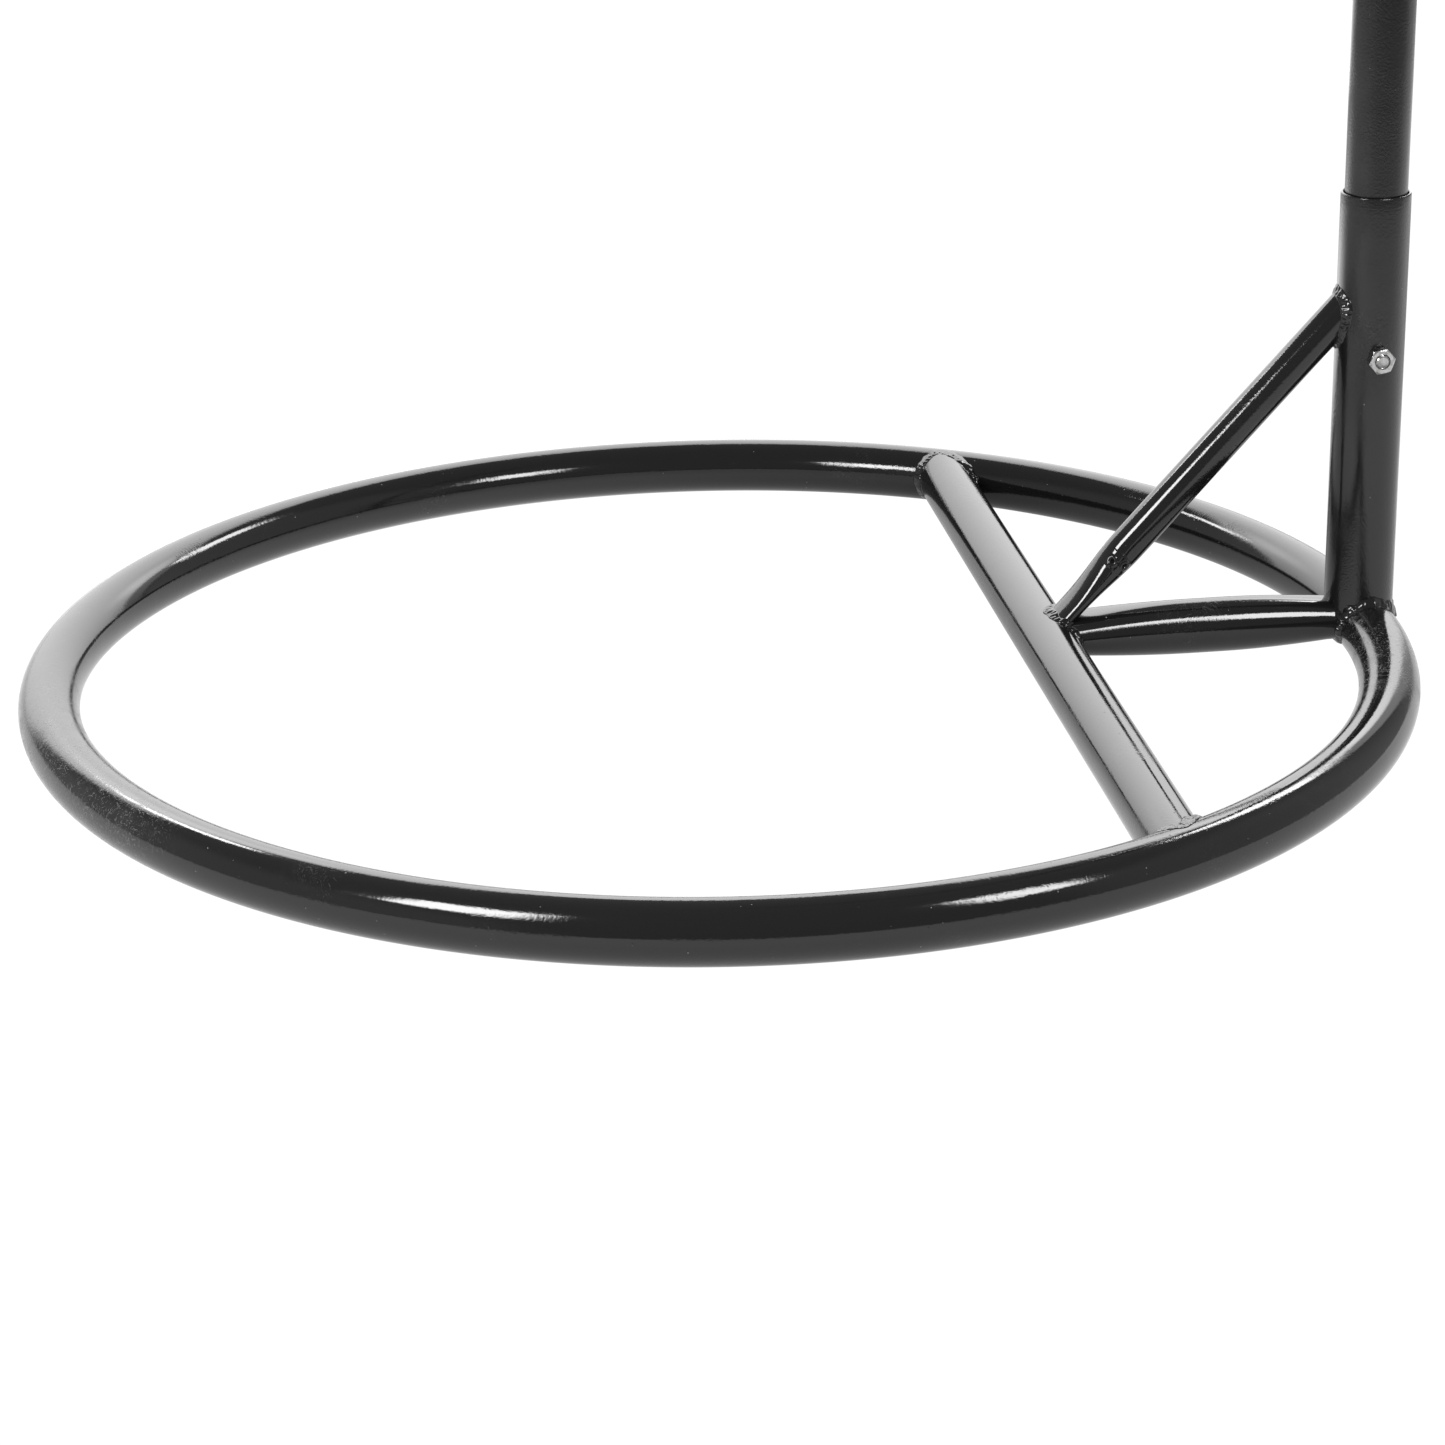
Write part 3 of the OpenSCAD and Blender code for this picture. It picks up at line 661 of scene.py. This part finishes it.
# ---------------------------------------------------------------- materials
class Nodes:
    """Short way to build a node tree."""

    def __init__(self, tree):
        self.tree = tree

    def add(self, kind, **inputs):
        """New node: p_NAME sets a property, iN or a socket's name sets or links an input."""
        node = self.tree.nodes.new(kind)
        for key, value in inputs.items():
            if key.startswith("p_"):
                setattr(node, key[2:], value)
        for key, value in inputs.items():
            if not key.startswith("p_"):
                numbered = key[0] == "i" and key[1:].isdigit()
                socket = node.inputs[int(key[1:]) if numbered else key]
                if hasattr(value, "is_output"):
                    self.tree.links.new(value, socket)
                else:
                    socket.default_value = value
        return node

    def math(self, op, a, b=0.0, c=0.0):
        return self.add("ShaderNodeMath", p_operation=op, i0=a, i1=b, i2=c).outputs[0]

    def ramp(self, value, low, high, to_low=0.0, to_high=1.0):
        """Smooth step from to_low, where value is low, to to_high, where it is high."""
        limits = {"From Min": low, "From Max": high, "To Min": to_low, "To Max": to_high}
        node = self.add("ShaderNodeMapRange", p_interpolation_type="SMOOTHSTEP", Value=value, **limits)
        return node.outputs["Result"]

    def noise(self, vector, scale, detail=2.0, rough=0.5):
        node = self.add("ShaderNodeTexNoise", Scale=scale, Detail=detail, Roughness=rough)
        self.tree.links.new(vector, node.inputs["Vector"])
        return node.outputs["Fac"]

    def cells(self, vector, scale):
        node = self.add("ShaderNodeTexVoronoi", Scale=scale)
        self.tree.links.new(vector, node.inputs["Vector"])
        return node.outputs["Distance"], node.outputs["Color"]

    def stretch(self, vector, factors):
        return self.add("ShaderNodeVectorMath", p_operation="MULTIPLY", i0=vector, i1=factors).outputs[0]


def new_material(name):
    """Material with one Principled shader; also gives its nodes, the shader and the place shaded."""
    material = bpy.data.materials.new(name)
    material.use_nodes = True
    tree = material.node_tree
    tree.nodes.clear()
    nodes = Nodes(tree)
    shader = nodes.add("ShaderNodeBsdfPrincipled")
    output = nodes.add("ShaderNodeOutputMaterial")
    tree.links.new(shader.outputs[0], output.inputs["Surface"])
    where = nodes.add("ShaderNodeNewGeometry").outputs["Position"]
    return material, nodes, shader, where


def link(nodes, value, shader, socket):
    """Links a value to one of a shader's inputs."""
    nodes.tree.links.new(value, shader.inputs[socket])


def paint(name, roughness, peel, peel_size, scuffs, colour=0.0065, worn=(), ribs=0.0):
    """Black enamel: patchy orange peel, pin holes, dust specks, rubbed patches and fine scratches.

    worn lists (place, radius) of patches that are rubbed most; ribs is the depth of the fine lines
    that run round the ring's tube.
    """
    material, n, shader, at = new_material(name)
    shader.inputs["IOR"].default_value = 1.5
    # Where it is rubbed
    rub = n.ramp(n.noise(at, 9.0, 4.0, 0.6), 0.55, 0.75, 0.0, 0.6)
    for place, radius in worn:
        away = n.add("ShaderNodeVectorMath", p_operation="DISTANCE", i0=at, i1=place).outputs["Value"]
        patch = n.ramp(away, 0.25 * radius, radius, 1.0, 0.0)
        patch = n.math("MULTIPLY", patch, n.ramp(n.noise(at, 30.0, 3.0), 0.15, 0.50))
        rub = n.math("MAXIMUM", rub, patch)
    # Short bent scratches lying three ways, dust specks and grime
    bend = n.add("ShaderNodeTexNoise", Scale=60.0, Detail=1.0)
    n.tree.links.new(at, bend.inputs["Vector"])
    bent = n.add("ShaderNodeVectorMath", p_operation="MULTIPLY_ADD", i0=bend.outputs["Color"],
                 i1=(0.03, 0.03, 0.03), i2=at).outputs[0]
    scratch = 0.0
    for lie in ((1.0, 6.0, 3.0), (6.0, 1.0, 3.0), (3.0, 5.0, 1.0)):
        line = n.noise(n.stretch(bent, lie), 160.0, 2.0, 0.6)
        scratch = n.math("MAXIMUM", scratch, n.ramp(line, 0.62, 0.69))
    scratch = n.math("MULTIPLY", scratch, rub)
    speck_far, speck_mark = n.cells(at, 120.0)
    mark = n.add("ShaderNodeSeparateColor", Color=speck_mark)
    speck = n.ramp(speck_far, 0.035, 0.060, 1.0, 0.0)
    speck = n.math("MULTIPLY", speck, n.ramp(mark.outputs[0], 0.35, 0.9))
    grime = n.math("MULTIPLY", n.ramp(n.noise(at, 26.0, 5.0, 0.62), 0.42, 0.75), rub)
    # Colour and roughness
    shade = n.math("MULTIPLY_ADD", grime, 0.010 * scuffs, colour)
    shade = n.math("MULTIPLY_ADD", scratch, 0.075 * scuffs, shade)
    shade = n.math("MULTIPLY_ADD", speck, 0.16, shade)
    rgb = n.add("ShaderNodeCombineColor", Red=shade, Green=shade, Blue=n.math("MULTIPLY", shade, 1.03))
    link(n, rgb.outputs[0], shader, "Base Color")
    dull = n.math("MULTIPLY_ADD", grime, 0.16 * scuffs, roughness)
    dull = n.math("MULTIPLY_ADD", scratch, 0.25 * scuffs, dull)
    dull = n.math("MULTIPLY_ADD", n.noise(at, 14.0, 3.0), 0.05, dull)
    link(n, dull, shader, "Roughness")
    # Relief: orange peel, pin holes, specks, scratches, ribs and a slow wave
    patchy = n.ramp(n.noise(at, 17.0, 2.0), 0.38, 0.66, 0.35, 1.7)
    wave = n.math("MULTIPLY", n.noise(at, 1.0 / peel_size, 3.0, 0.6), n.math("MULTIPLY", patchy, peel))
    pit_far, pit_mark = n.cells(at, 95.0)
    depth = n.add("ShaderNodeSeparateColor", Color=pit_mark)
    pit = n.ramp(pit_far, 0.02, 0.07, -1.0, 0.0)
    pit = n.math("MULTIPLY", pit, n.ramp(depth.outputs[0], 0.3, 1.0, 0.0, 9.0))
    height = n.math("ADD", n.math("ADD", pit, wave), n.math("MULTIPLY", speck, 3.0))
    height = n.math("MULTIPLY_ADD", scratch, 0.8, height)
    if ribs:
        part = n.add("ShaderNodeSeparateXYZ", Vector=at)
        arc = n.math("MULTIPLY", n.math("ARCTAN2", part.outputs["Y"], part.outputs["X"]), RING_R)
        along = n.add("ShaderNodeCombineXYZ", X=arc, Y=0.0, Z=n.math("MULTIPLY", part.outputs["Z"], 0.1))
        lines = n.noise(along.outputs[0], 520.0, 3.0, 0.7)
        height = n.math("MULTIPLY_ADD", lines, n.math("MULTIPLY", patchy, ribs), height)
    height = n.math("MULTIPLY_ADD", n.noise(at, 11.0, 2.0), 2.0 * peel, height)
    bump = n.add("ShaderNodeBump", Height=height, Distance=0.00002, Strength=1.0)
    link(n, bump.outputs[0], shader, "Normal")
    return material


def zinc_plate():
    """Bright zinc on a nut or bolt: faint grain, small stains and soft dings."""
    material, n, shader, at = new_material("zinc_plate")
    shader.inputs["Metallic"].default_value = 1.0
    stain = n.ramp(n.noise(at, 260.0, 4.0, 0.6), 0.35, 0.8)
    mix = n.add("ShaderNodeMix", p_data_type="RGBA", Factor=stain)
    mix.inputs[6].default_value = (0.50, 0.50, 0.50, 1)
    mix.inputs[7].default_value = (0.26, 0.26, 0.25, 1)
    link(n, mix.outputs[2], shader, "Base Color")
    link(n, n.math("MULTIPLY_ADD", stain, 0.18, 0.2), shader, "Roughness")
    grain = n.noise(at, 900.0, 3.0)
    ding = n.noise(at, 220.0, 2.0)
    height = n.math("MULTIPLY_ADD", ding, 1.5, grain)
    bump = n.add("ShaderNodeBump", Height=height, Distance=0.00004, Strength=1.0)
    link(n, bump.outputs[0], shader, "Normal")
    return material


def cap_plastic():
    """Moulded black plastic with a fine grain."""
    material, n, shader, at = new_material("moulded_plastic")
    shader.inputs["IOR"].default_value = 1.46
    tone = n.math("MULTIPLY_ADD", n.noise(at, 60.0, 3.0), 0.010, 0.008)
    rgb = n.add("ShaderNodeCombineColor", Red=tone, Green=tone, Blue=tone)
    link(n, rgb.outputs[0], shader, "Base Color")
    link(n, n.math("MULTIPLY_ADD", n.noise(at, 40.0, 2.0), 0.12, 0.42), shader, "Roughness")
    bump = n.add("ShaderNodeBump", Height=n.noise(at, 1400.0, 2.0), Distance=0.00005, Strength=1.0)
    link(n, bump.outputs[0], shader, "Normal")
    return material


def wear(obj, material):
    """Gives an object one material."""
    obj.data.materials.clear()
    obj.data.materials.append(material)


# ---------------------------------------------------------------- studio
ROOM_GLOW = 0.27
FLOOR_HALF = 30
DOME_R = 40
OVEREXPOSED = 1.05                             # glow of the floor and dome that are seen
DROP_X = 0.25                                  # place and size of the backdrop, its lower edge at the floor
DROP_Y = 2.0
DROP_HALF_W = 2.30
DROP_HALF_H = 1.20
# Brighter spots on the backdrop: across, height, radius, extra radiance
DROP_SPOTS = ((-1.05, 1.5, 0.7, 1.6), (1.15, 1.6, 0.8, 1.6))
FLAG_R = 0.45
FLAG_CENTRE = Vector((0.05, 0.35, 1.0))
LIGHT_AIM = (0.05, 0, 0.05)
# Softboxes: name, centre, half width, half height, radiance
SOFTBOXES = (
    ("key_left", (-0.83, -0.80, 0.90), 0.25, 0.24, 24.0),
    ("key_right", (0.89, -1.06, 1.16), 0.25, 0.28, 20.0),
    ("back_left", (-0.99, 1.31, 1.40), 0.12, 0.28, 17.0),
    ("back_right", (1.38, 1.27, 1.63), 0.24, 0.33, 15.0),
)


def studio_world():
    """Dim room with two slightly lighter side walls."""
    world = bpy.data.worlds.new("studio")
    bpy.context.scene.world = world
    world.use_nodes = True
    tree = world.node_tree
    tree.nodes.clear()
    n = Nodes(tree)
    way = n.add("ShaderNodeTexCoord").outputs["Generated"]

    def dot(v):
        node = n.add("ShaderNodeVectorMath", p_operation="DOT_PRODUCT", i0=way, i1=v)
        return node.outputs["Value"]

    def wall(azimuth, x0, x1, y0, y1, strength):
        """Upright wall one unit away; its soft edges are measured on it, right and up from level."""
        az, soft = math.radians(azimuth), 0.3
        front = dot((math.sin(az), math.cos(az), 0))
        deep = n.math("MAXIMUM", front, 0.001)
        x = n.math("DIVIDE", dot((math.cos(az), -math.sin(az), 0)), deep)
        y = n.math("DIVIDE", dot((0, 0, 1)), deep)
        mask = n.ramp(front, 0.001, 0.01)
        for value, start, end in ((x, x0, x1), (y, y0, y1)):
            mask = n.math("MULTIPLY", mask, n.ramp(value, start - soft, start + soft))
            mask = n.math("MULTIPLY", mask, n.ramp(value, end - soft, end + soft, 1.0, 0.0))
        return n.math("MULTIPLY", mask, strength)

    left_wall = wall(-85, -1.4, 0.9, -0.3, 0.75, 0.22)
    right_wall = wall(85, -0.6, 1.0, -0.3, 1.1, 0.20)
    total = n.math("ADD", n.math("ADD", left_wall, right_wall), ROOM_GLOW)
    light = n.add("ShaderNodeBackground", Strength=total)
    light.inputs["Color"].default_value = (1, 1, 1, 1)
    output = n.add("ShaderNodeOutputWorld")
    tree.links.new(light.outputs[0], output.inputs["Surface"])
    world.cycles.sampling_method = "MANUAL"
    world.cycles.sample_map_resolution = 1024


def sheet(name, half_w, half_h):
    """Flat rectangle round the origin, facing +Z."""
    corners = [(-half_w, -half_h, 0), (half_w, -half_h, 0), (half_w, half_h, 0), (-half_w, half_h, 0)]
    mesh = bpy.data.meshes.new(name)
    mesh.from_pydata(corners, [], [(0, 1, 2, 3)])
    obj = bpy.data.objects.new(name, mesh)
    bpy.context.scene.collection.objects.link(obj)
    return obj, mesh


def lit_panel(name, centre, aim, half_w, half_h, glow):
    """One-sided glowing panel that faces aim. glow(nodes, x, y) is its radiance, x and y from -1 to 1."""
    obj, mesh = sheet(name, half_w, half_h)
    out = (Vector(aim) - Vector(centre)).normalized()
    obj.matrix_world = Matrix.Translation(centre) @ out.to_track_quat("Z", "Y").to_matrix().to_4x4()
    material = bpy.data.materials.new(name)
    material.use_nodes = True
    tree = material.node_tree
    tree.nodes.clear()
    n = Nodes(tree)
    spot = n.add("ShaderNodeSeparateXYZ", Vector=n.add("ShaderNodeTexCoord").outputs["Object"])
    x = n.math("DIVIDE", spot.outputs["X"], half_w)
    y = n.math("DIVIDE", spot.outputs["Y"], half_h)
    front = n.math("SUBTRACT", 1.0, n.add("ShaderNodeNewGeometry").outputs["Backfacing"])
    light = n.add("ShaderNodeEmission", Strength=n.math("MULTIPLY", glow(n, x, y), front))
    output = n.add("ShaderNodeOutputMaterial")
    tree.links.new(light.outputs[0], output.inputs["Surface"])
    mesh.materials.append(material)
    obj.visible_camera = False
    return obj


def edges(n, x, y, soft_x, soft_y):
    """1 inside a panel, falling to 0 at its edges."""
    across = n.ramp(n.math("ABSOLUTE", x), 1 - soft_x, 1.0, 1.0, 0.0)
    return n.math("MULTIPLY", across, n.ramp(n.math("ABSOLUTE", y), 1 - soft_y, 1.0, 1.0, 0.0))


def studio_lights():
    """Softboxes on both sides of the camera and behind the stand, a bright backdrop and a dark flag."""
    for name, centre, half_w, half_h, radiance in SOFTBOXES:
        def even(n, x, y, radiance=radiance):
            return n.math("MULTIPLY", edges(n, x, y, 0.25, 0.25), radiance)

        lit_panel(name, centre, LIGHT_AIM, half_w, half_h, even)

    def backdrop(n, x, y):
        """Brighter upwards, with two brighter spots, falling off at the top and at both sides."""
        height = n.math("MULTIPLY_ADD", y, DROP_HALF_H, DROP_HALF_H)
        across = n.math("MULTIPLY", x, -DROP_HALF_W)
        shade = n.math("MULTIPLY_ADD", n.math("MINIMUM", height, 1.35), 1.8, 1.6)
        for spot_x, spot_z, size, extra in DROP_SPOTS:
            off = n.math("POWER", n.math("SUBTRACT", across, spot_x), 2.0)
            rise = n.math("POWER", n.math("SUBTRACT", height, spot_z), 2.0)
            far = n.math("SQRT", n.math("ADD", off, rise))
            shade = n.math("ADD", shade, n.ramp(far, 0.1, size, extra, 0.0))
        shade = n.math("MULTIPLY", shade, n.ramp(height, 1.85, 2.35, 1.0, 0.0))
        wing_left = n.ramp(across, -1.62, -1.42, 0.30, 1.0)
        wing_right = n.ramp(across, 1.95, 2.10, 1.0, 0.40)
        shade = n.math("MULTIPLY", shade, n.math("MULTIPLY", wing_left, wing_right))
        return n.math("MULTIPLY", shade, edges(n, x, 0.0, 0.08, 0.15))

    place, aim = (DROP_X, DROP_Y, DROP_HALF_H), (DROP_X, 0, DROP_HALF_H)
    lit_panel("backdrop", place, aim, DROP_HALF_W, DROP_HALF_H, backdrop)
    dark_flag()


def dark_flag():
    """Round cloth over the stand, no brighter than the room.

    It hides the backdrop from paint that mirrors it from below and in front, and is seen nowhere else.
    """
    mesh = bpy.data.meshes.new("dark_flag")
    turn = np.linspace(0, 2 * math.pi, 48, endpoint=False)
    rim = [(FLAG_R * math.cos(a), FLAG_R * math.sin(a), 0) for a in turn]
    mesh.from_pydata(rim, [], [tuple(range(48))])
    flag = bpy.data.objects.new("dark_flag", mesh)
    bpy.context.scene.collection.objects.link(flag)
    facing = (Vector((0, -RING_R, RING_Z)) - FLAG_CENTRE).normalized()
    turned = facing.to_track_quat("Z", "Y").to_matrix().to_4x4()
    flag.matrix_world = Matrix.Translation(FLAG_CENTRE) @ turned
    material = bpy.data.materials.new("dark_flag")
    material.use_nodes = True
    tree = material.node_tree
    tree.nodes.clear()
    n = Nodes(tree)
    cloth = n.add("ShaderNodeEmission", Strength=ROOM_GLOW)
    clear = n.add("ShaderNodeBsdfTransparent")
    behind = n.add("ShaderNodeNewGeometry").outputs["Backfacing"]
    mixed = n.add("ShaderNodeMixShader", i0=behind, i1=cloth.outputs[0], i2=clear.outputs[0])
    output = n.add("ShaderNodeOutputMaterial")
    tree.links.new(mixed.outputs[0], output.inputs["Surface"])
    mesh.materials.append(material)
    flag.visible_camera = False
    flag.visible_diffuse = False
    flag.visible_shadow = False


def floor_layer(name, z):
    """Large level sheet at height z."""
    obj, _ = sheet(name, FLOOR_HALF, FLOOR_HALF)
    obj.location.z = z
    return obj


def flat_material(name, diffuse, glow):
    """Matt grey that also glows."""
    material, n, shader, at = new_material(name)
    shader.inputs["Base Color"].default_value = (diffuse, diffuse, diffuse, 1)
    shader.inputs["Roughness"].default_value = 1.0
    shader.inputs["Specular IOR Level"].default_value = 0.0
    shader.inputs["Emission Color"].default_value = (1, 1, 1, 1)
    shader.inputs["Emission Strength"].default_value = glow
    return material, n, shader, at


def studio_floor():
    """White floor, in two layers: what the paint mirrors, whose glow is painted light and painted shade,
    and the overexposed white that is seen.
    """
    painted_light_floor = floor_layer("floor_lit", -1.2 * MM)
    material, n, shader, at = flat_material("floor_lit", 0.20, 0.12)
    painted_light_floor.data.materials.append(material)

    def away(x, y):
        node = n.add("ShaderNodeVectorMath", p_operation="DISTANCE", i0=at, i1=(x, y, 0))
        return node.outputs["Value"]

    # Painted light and painted shade in the mirrored floor's glow: painted light round the stand and a
    # painted pool of light behind it, painted shade behind its right and inside the ring
    wide = n.add("ShaderNodeVectorMath", p_operation="LENGTH", i0=n.stretch(at, (0.5, 1, 1)))
    near = n.ramp(wide.outputs["Value"], 0.7, 2.6, 0.85, 0.15)
    painted_light_pool = n.ramp(away(-0.15, 0.95), 0.15, 0.75, 1.8, 0.0)
    painted_shade = n.ramp(away(1.1, 0.9), 0.2, 0.7, 0.35, 1.0)
    painted_shade = n.math("MULTIPLY", painted_shade, n.ramp(away(0.15, 0.25), 0.15, 0.6, 0.55, 1.0))
    # Painted light: brighter out to the right
    part = n.add("ShaderNodeSeparateXYZ", Vector=at)
    right = n.ramp(part.outputs["X"], 0.6, 1.8, 0.0, 0.40)
    right = n.math("MULTIPLY", right, n.ramp(part.outputs["Y"], -0.9, 0.0))
    # The mirrored floor glows with this painted light and painted shade
    glow = n.math("MULTIPLY", n.math("ADD", n.math("ADD", near, painted_light_pool), right), painted_shade)
    link(n, glow, shader, "Emission Strength")
    painted_light_floor.visible_camera = False
    seen = floor_layer("floor_seen", -1.0 * MM)
    seen.data.materials.append(flat_material("floor_seen", 0.0, OVEREXPOSED)[0])
    shell = bpy.data.meshes.new("white_dome")
    bm = bmesh.new()
    bmesh.ops.create_icosphere(bm, subdivisions=3, radius=DOME_R)
    bm.to_mesh(shell)
    bm.free()
    dome = bpy.data.objects.new("white_dome", shell)
    bpy.context.scene.collection.objects.link(dome)
    shell.materials.append(flat_material("white_dome", 0.0, OVEREXPOSED)[0])
    for obj in (seen, dome):
        obj.visible_diffuse = False
        obj.visible_glossy = False
        obj.visible_transmission = False
        obj.visible_shadow = False


def studio_camera():
    """Camera in front of the stand and above it, looking down at the base."""
    place = Vector((-0.331, -2.610, 0.984))
    yaw, pitch, roll = math.radians(-7.27), math.radians(21.0), math.radians(-1.02)
    level = math.cos(pitch)
    ahead = Vector((-math.sin(yaw) * level, math.cos(yaw) * level, -math.sin(pitch)))
    right = Vector((math.cos(yaw), math.sin(yaw), 0))
    up = right.cross(ahead)
    rolled_right = math.cos(roll) * right + math.sin(roll) * up
    rolled_up = -math.sin(roll) * right + math.cos(roll) * up
    data = bpy.data.cameras.new("camera")
    data.sensor_width = 36
    data.lens = 96.5149
    data.clip_end = 100
    camera = bpy.data.objects.new("camera", data)
    bpy.context.scene.collection.objects.link(camera)
    turn = Matrix((rolled_right, rolled_up, -ahead)).transposed().to_4x4()
    camera.matrix_world = Matrix.Translation(place) @ turn
    bpy.context.scene.camera = camera


# ---------------------------------------------------------------- build
studio_camera()
studio_world()
studio_lights()
studio_floor()
bpy.context.scene.view_settings.view_transform = "Standard"

# Rubbed patches of the ring: place, radius
worn_patches = (((-0.47, -0.12, 0.04), 0.20), ((-0.43, -0.24, 0.04), 0.09), ((0.47, -0.12, 0.04), 0.13))
gloss = paint("gloss_enamel", 0.055, 4.0, 2.2 * MM, 1.0)
ring_gloss = paint("ring_enamel", 0.055, 4.0, 2.2 * MM, 1.2, worn=worn_patches, ribs=1.2)
satin = paint("satin_enamel", 0.10, 7.0, 1.6 * MM, 0.6, 0.007)
bead_gloss = paint("bead_enamel", 0.05, 3.0, 1.6 * MM, 0.5)
zinc = zinc_plate()
plastic = cap_plastic()

wear(floor_ring(), ring_gloss)
for obj in (chord_bar(), pressed_strut(), pressed_brace(), lug_plate()):
    wear(obj, gloss)
for obj in (socket_tube(), mast_tube(), crook_arm()):
    wear(obj, satin)
wear(end_cap(), plastic)
welds()
for tag, tube_r, turn in (("mast", SOCKET_R, math.radians(10)), ("arm", MAST_R, 0.0)):
    nut_lo, nut_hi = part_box(f"{tag}_nut")
    bolt_and_nut(tag, (nut_lo.z + nut_hi.z) / 2, tube_r, turn)
for obj in bpy.data.objects:
    if obj.name.startswith("bead_"):
        wear(obj, bead_gloss)
    if obj.get("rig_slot") == "zinc":
        wear(obj, zinc)
for name in ("hook_body", "hook_gate", "gate_rivet", "gate_spring"):
    wear(frame["nodes"][name], zinc)
